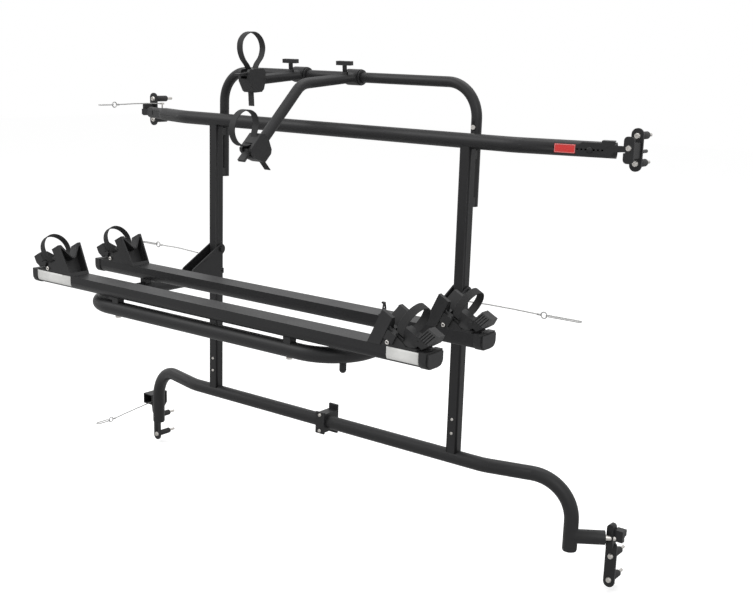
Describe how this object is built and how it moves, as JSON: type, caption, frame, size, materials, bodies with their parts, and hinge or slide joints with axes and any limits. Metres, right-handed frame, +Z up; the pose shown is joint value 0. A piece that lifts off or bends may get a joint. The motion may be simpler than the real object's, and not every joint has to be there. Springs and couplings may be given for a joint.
{
  "type": "rear bike carrier",
  "caption": "Door-hinge mounted bicycle carrier: bent tube frame, folding platform with wheel rails and strapped wheel holders, raised hoop with clamping arms.",
  "frame": {"origin": "on the face of the centre foot's pad, level with the lower tube's axis, midway between the posts", "axes": "+X to the right as seen from behind the van, +Y towards the van, +Z up"},
  "size_m": [1.5935, 0.6791, 1.2486],
  "materials": {
    "powder_coat": "satin black powder coat",
    "black_plastic": "fine grained black plastic",
    "soft_rubber": "matt black rubber",
    "bright_steel": "zinc plated, satin",
    "wire_steel": "bright drawn wire",
    "red_lens": "prismatic gloss"
  },
  "bodies": {
    "frame": {"upper_crossbar": "powder_coat", "lower_tube": "powder_coat", "posts": "powder_coat", "foot_bracket": "powder_coat", "frame_screws": "bright_steel", "reflector": "red_lens", "upper_left_clamp": "powder_coat", "lower_left_clamp": "powder_coat", "left_sleeves": "soft_rubber", "hoop_guides": "black_plastic", "hinge_pins": "powder_coat", "upper_left_cable": "wire_steel", "lower_left_cable": "wire_steel", "frame_lock_pins": "wire_steel"},
    "upper_slider": {"slide_plate": "powder_coat", "upper_right_clamp": "powder_coat", "upper_right_sleeves": "soft_rubber", "upper_right_screws": "bright_steel"},
    "lower_adjuster": {"lower_right_clamp": "powder_coat", "lower_right_sleeves": "soft_rubber", "lower_right_screws": "bright_steel"},
    "hoop": {"hoop": "powder_coat", "hoop_lock_pin": "bright_steel"},
    "platform": {"platform_tube": "powder_coat", "hinge_plates": "powder_coat", "front_rail": "powder_coat", "rear_rail": "powder_coat", "rail_caps": "black_plastic", "rail_saddles": "black_plastic", "rail_screws": "bright_steel", "fold_clips": "black_plastic", "platform_left_cable": "wire_steel", "platform_right_cable": "wire_steel", "platform_lock_pins": "wire_steel"},
    "short_arm_slider": {"short_arm_liner": "black_plastic"},
    "short_arm_lift": {"short_arm_ring": "bright_steel"},
    "short_arm": {"short_arm_tube": "powder_coat", "short_arm_head": "black_plastic", "short_arm_strap": "soft_rubber"},
    "short_arm_lever": {"short_arm_lever": "black_plastic"},
    "short_arm_knob": {"short_arm_knob": "black_plastic"},
    "long_arm_slider": {"long_arm_liner": "black_plastic"},
    "long_arm_lift": {"long_arm_ring": "bright_steel"},
    "long_arm": {"long_arm_tube": "powder_coat", "long_arm_head": "black_plastic", "long_arm_strap": "soft_rubber"},
    "long_arm_lever": {"long_arm_lever": "black_plastic"},
    "long_arm_knob": {"long_arm_knob": "black_plastic"},
    "front_left_holder": {"front_left_chute": "black_plastic", "front_left_strap": "soft_rubber"},
    "front_left_lever": {"front_left_lever": "black_plastic"},
    "rear_left_holder": {"rear_left_chute": "black_plastic", "rear_left_strap": "soft_rubber"},
    "rear_left_lever": {"rear_left_lever": "black_plastic"},
    "front_right_holder": {"front_right_chute": "black_plastic", "front_right_strap": "soft_rubber"},
    "front_right_lever": {"front_right_lever": "black_plastic"},
    "rear_right_holder": {"rear_right_chute": "black_plastic", "rear_right_strap": "soft_rubber"},
    "rear_right_lever": {"rear_right_lever": "black_plastic"}
  },
  "joints": [
    {"name": "platform_fold", "type": "hinge", "parent": "frame", "child": "platform", "pos_m": [0, -0.037, 0.4095], "axis": [-1, 0, 0], "range_deg": [0, 90]},
    {"name": "hoop_lift", "type": "slide", "parent": "frame", "child": "hoop", "axis": [0, 0, 1], "range_m": [0, 0.12]},
    {"name": "upper_clamp_slide", "type": "slide", "parent": "frame", "child": "upper_slider", "axis": [0.9563, 0.2924, 0], "range_m": [0, 0.03]},
    {"name": "lower_clamp_slide", "type": "slide", "parent": "frame", "child": "lower_adjuster", "axis": [0.829, 0.5592, 0], "range_m": [0, 0.01]},
    {"name": "short_arm_slide", "type": "slide", "parent": "hoop", "child": "short_arm_slider", "axis": [1, 0, 0], "range_m": [-0.12, 0.03]},
    {"name": "short_arm_follow", "type": "hinge", "parent": "short_arm_slider", "child": "short_arm_lift", "pos_m": [-0.129, -0.0056, 0.889], "axis": [-1, 0, 0], "range_deg": [0, 90]},
    {"name": "short_arm_swing", "type": "hinge", "parent": "short_arm_lift", "child": "short_arm", "pos_m": [-0.129, -0.0056, 0.889], "axis": [-1, 0, 0], "range_deg": [-30, 45]},
    {"name": "short_arm_knob_turn", "type": "hinge", "parent": "short_arm", "child": "short_arm_knob", "pos_m": [-0.129, -0.04548, 0.88586], "axis": [0, -0.0785, 0.9969], "continuous": true},
    {"name": "short_arm_lever_turn", "type": "hinge", "parent": "short_arm", "child": "short_arm_lever", "pos_m": [-0.129, -0.21023, 0.88894], "axis": [-1, 0, 0], "range_deg": [0, 40]},
    {"name": "long_arm_slide", "type": "slide", "parent": "hoop", "child": "long_arm_slider", "axis": [1, 0, 0], "range_m": [-0.03, 0.15]},
    {"name": "long_arm_follow", "type": "hinge", "parent": "long_arm_slider", "child": "long_arm_lift", "pos_m": [0.044, -0.0056, 0.889], "axis": [-1, 0, 0], "range_deg": [0, 90]},
    {"name": "long_arm_swing", "type": "hinge", "parent": "long_arm_lift", "child": "long_arm", "pos_m": [0.044, -0.0056, 0.889], "axis": [-1, 0, 0], "range_deg": [-30, 45]},
    {"name": "long_arm_knob_turn", "type": "hinge", "parent": "long_arm", "child": "long_arm_knob", "pos_m": [0.044, -0.04548, 0.88586], "axis": [0, -0.0785, 0.9969], "continuous": true},
    {"name": "long_arm_lever_turn", "type": "hinge", "parent": "long_arm", "child": "long_arm_lever", "pos_m": [0.044, -0.38437, 0.72773], "axis": [-1, 0, 0], "range_deg": [0, 40]},
    {"name": "front_left_holder_slide", "type": "slide", "parent": "platform", "child": "front_left_holder", "axis": [-1, 0, 0], "range_m": [0, 0.01]},
    {"name": "front_left_lever_turn", "type": "hinge", "parent": "front_left_holder", "child": "front_left_lever", "pos_m": [-0.52657, -0.49, 0.41129], "axis": [0, 1, 0], "range_deg": [0, 32]},
    {"name": "rear_left_holder_slide", "type": "slide", "parent": "platform", "child": "rear_left_holder", "axis": [-1, 0, 0], "range_m": [0, 0.01]},
    {"name": "rear_left_lever_turn", "type": "hinge", "parent": "rear_left_holder", "child": "rear_left_lever", "pos_m": [-0.52657, -0.293, 0.41129], "axis": [0, 1, 0], "range_deg": [0, 32]},
    {"name": "front_right_holder_slide", "type": "slide", "parent": "platform", "child": "front_right_holder", "axis": [1, 0, 0], "range_m": [-0.06, 0]},
    {"name": "front_right_lever_turn", "type": "hinge", "parent": "front_right_holder", "child": "front_right_lever", "pos_m": [0.59857, -0.49, 0.41129], "axis": [0, -1, 0], "range_deg": [0, 32]},
    {"name": "rear_right_holder_slide", "type": "slide", "parent": "platform", "child": "rear_right_holder", "axis": [1, 0, 0], "range_m": [-0.05, 0]},
    {"name": "rear_right_lever_turn", "type": "hinge", "parent": "rear_right_holder", "child": "rear_right_lever", "pos_m": [0.59857, -0.293, 0.41129], "axis": [0, -1, 0], "range_deg": [0, 32]}
  ],
  "couplings": [
    {"joint": "short_arm_follow", "follows": "platform_fold", "ratio": 1},
    {"joint": "long_arm_follow", "follows": "platform_fold", "ratio": 1}
  ]
}
